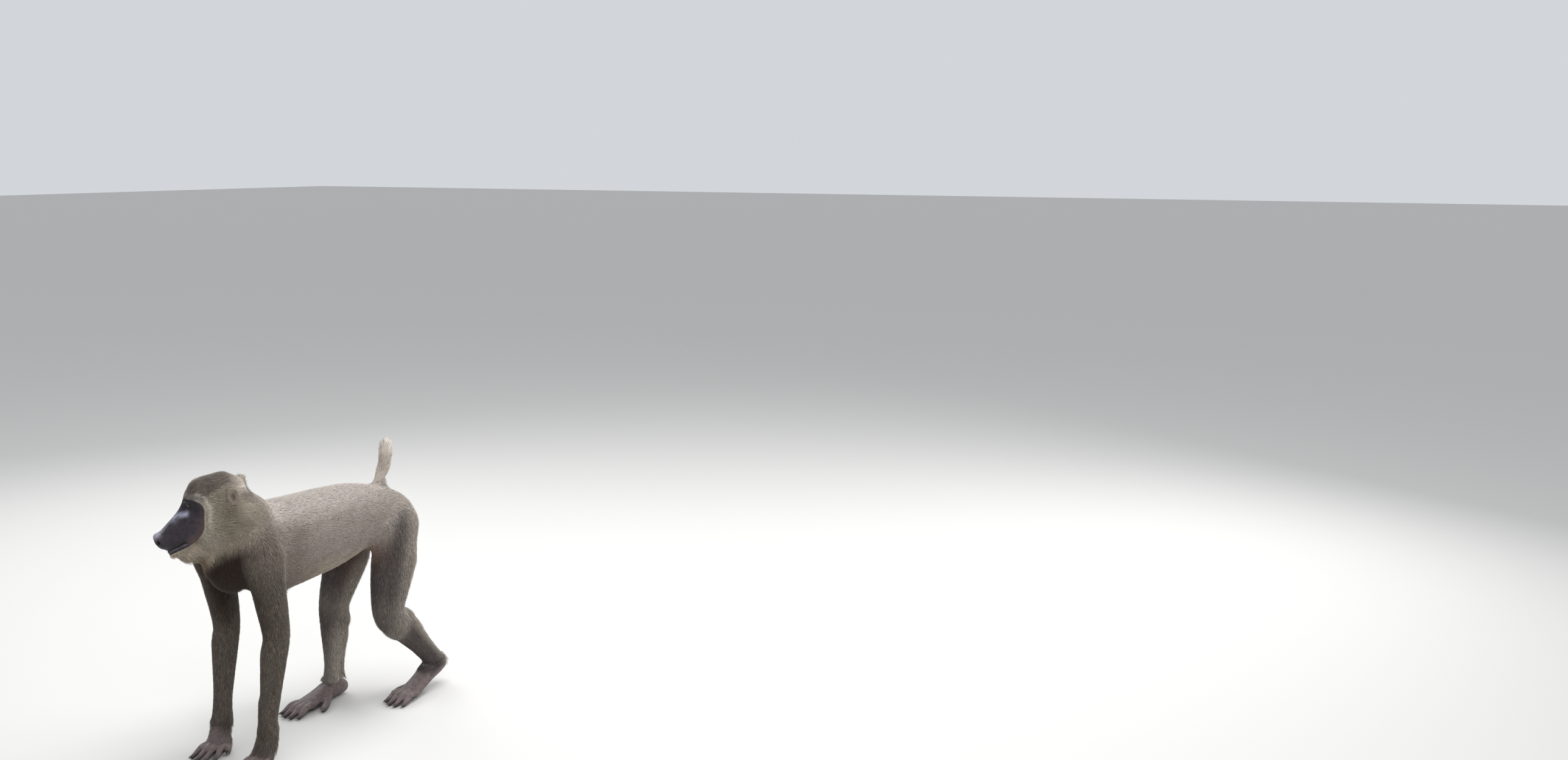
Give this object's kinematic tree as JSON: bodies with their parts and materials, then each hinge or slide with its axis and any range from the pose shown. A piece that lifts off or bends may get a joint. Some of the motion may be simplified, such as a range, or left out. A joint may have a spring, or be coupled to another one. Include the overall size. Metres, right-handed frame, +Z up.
{
  "type": "drill monkey model",
  "caption": "Life-size still model of a female drill monkey walking on all fours, head turned to its right, short tail held up; the short coat is in the outline.",
  "frame": {"origin": "on the floor, under the middle of the whole model's box", "axes": "+Z up; the animal faces -Y; +X is its left side"},
  "size_m": [0.1978, 0.565, 0.5337],
  "materials": {
    "coat": "short grizzled olive-grey fur, paler buff on the back, flanks and belly",
    "face_skin": "smooth blue-black bare skin with a soft sheen, cream cheek fur round it",
    "hand_skin": "bare mauve-grey skin, finely creased",
    "eye": "dark brown, wet gloss"
  },
  "bodies": {
    "root": {"torso": "coat", "neck": "coat", "head": "face_skin", "ear_left": "face_skin", "ear_right": "face_skin", "eye_left": "eye", "eye_right": "eye", "upper_arm_left": "coat", "upper_arm_right": "coat", "forearm_left": "coat", "forearm_right": "coat", "hand_left": "hand_skin", "hand_right": "hand_skin", "thigh_left": "coat", "thigh_right": "coat", "shank_left": "coat", "shank_right": "coat", "foot_left": "hand_skin", "foot_right": "hand_skin", "tail": "coat"}
  },
  "joints": []
}
